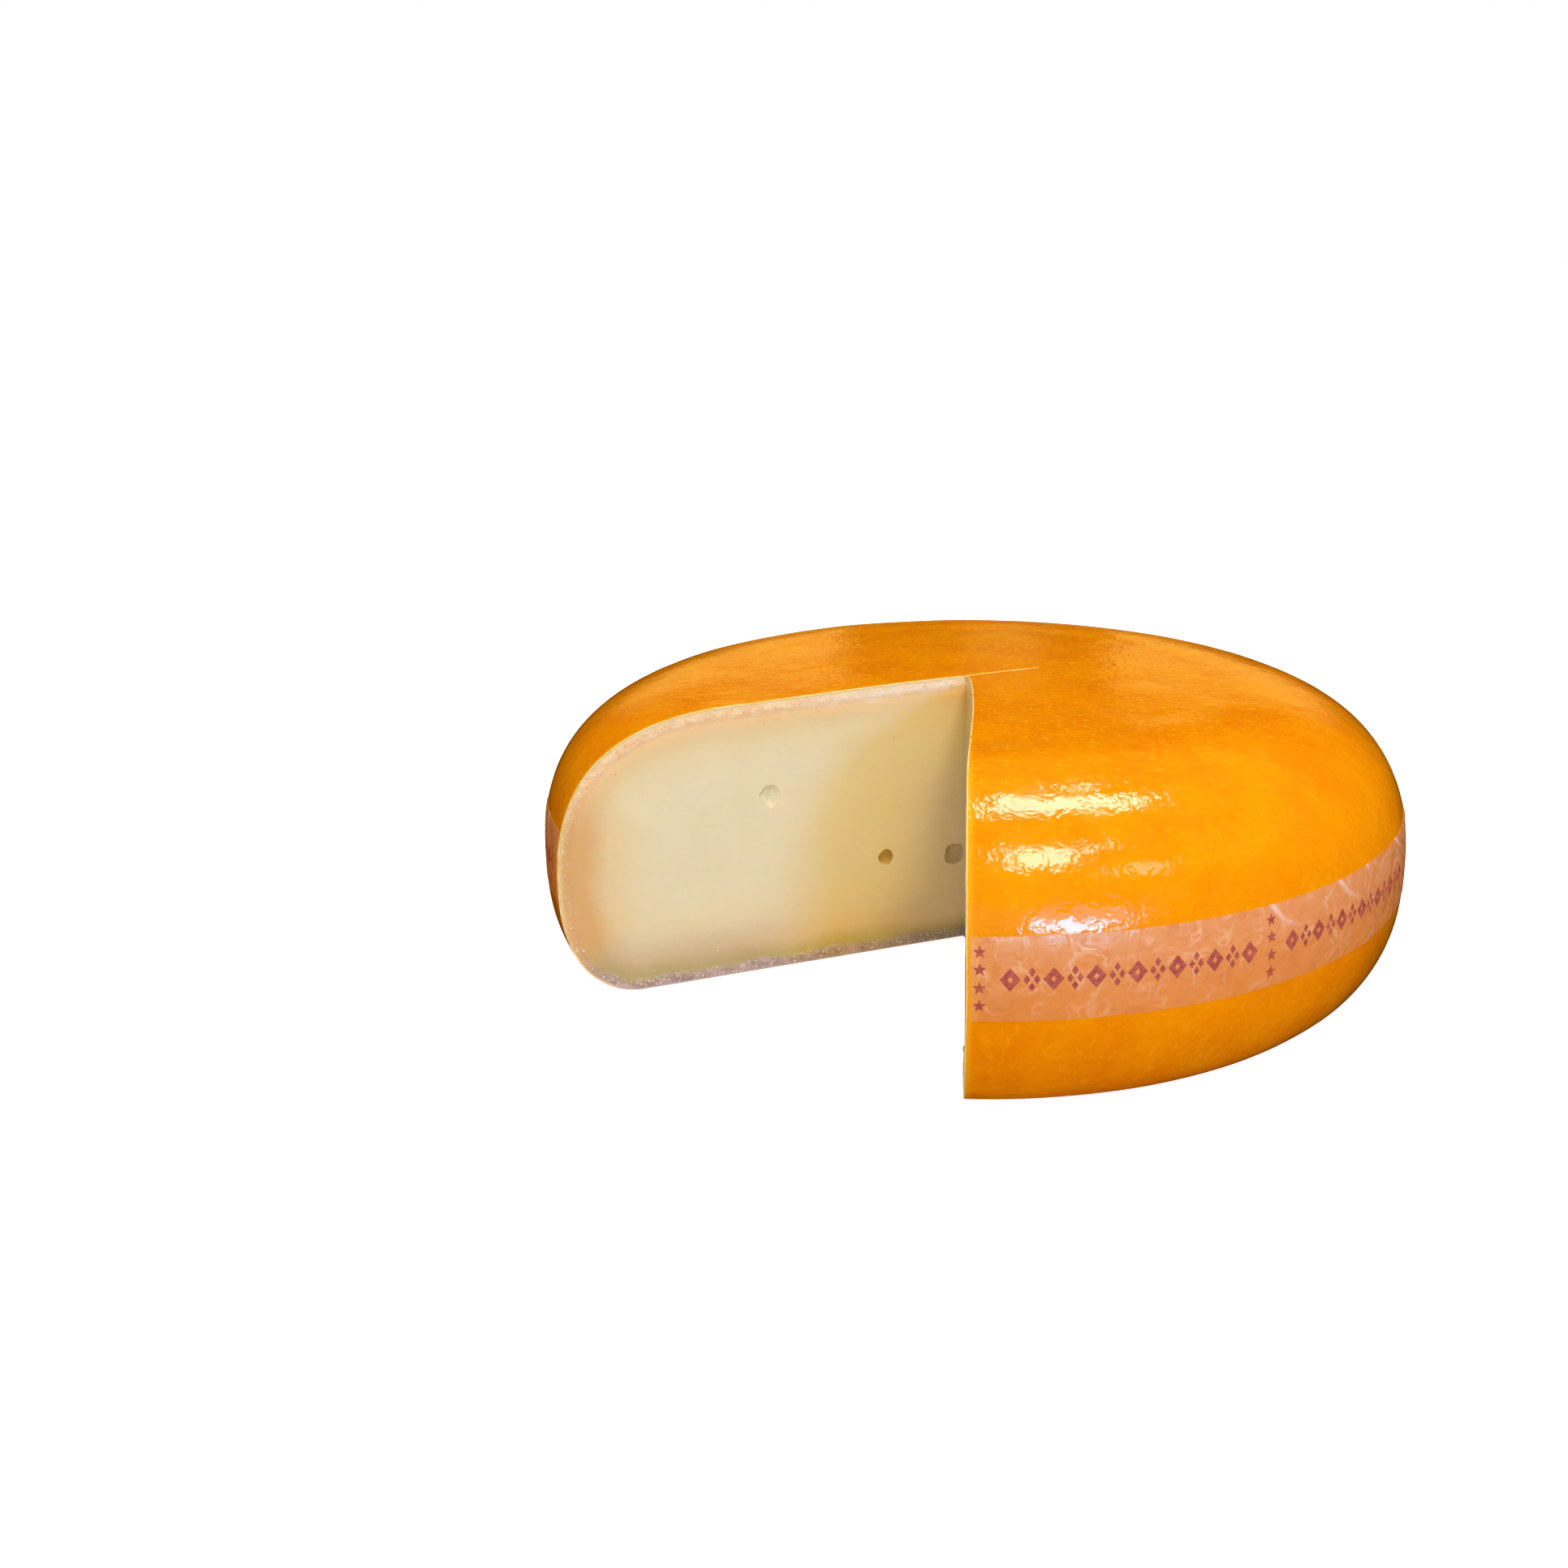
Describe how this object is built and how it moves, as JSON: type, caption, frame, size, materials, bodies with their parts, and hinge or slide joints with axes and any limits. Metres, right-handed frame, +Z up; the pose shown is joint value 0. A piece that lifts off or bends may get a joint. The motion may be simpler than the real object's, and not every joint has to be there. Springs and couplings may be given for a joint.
{
  "type": "aged gouda cheese wheel",
  "caption": "Round wheel of aged Gouda with a glossy yellow-orange coating, bulging sides, a wedge-shaped slice cut out down to the base, and a paper band round its girth.",
  "frame": {"origin": "on the wheel's turning axis, at the level of its flat base", "axes": "+Z up along the turning axis; the slice was cut from the side that faces -Y: one cut face lies in the plane X = 0 and looks along -X, the other lies 64.2 degrees from it, towards -X"},
  "size_m": [0.36, 0.36, 0.118],
  "materials": {
    "coated_cheese": "glossy yellow-orange cheese coating outside, pale creamy paste with a darker rind zone on the two cut faces",
    "band_paper": "thin salmon-pink fibrous paper, stuck on under a thin gloss, with a small dark red print"
  },
  "bodies": {
    "root": {"cheese_wheel": "coated_cheese", "paper_band": "band_paper"}
  },
  "joints": []
}
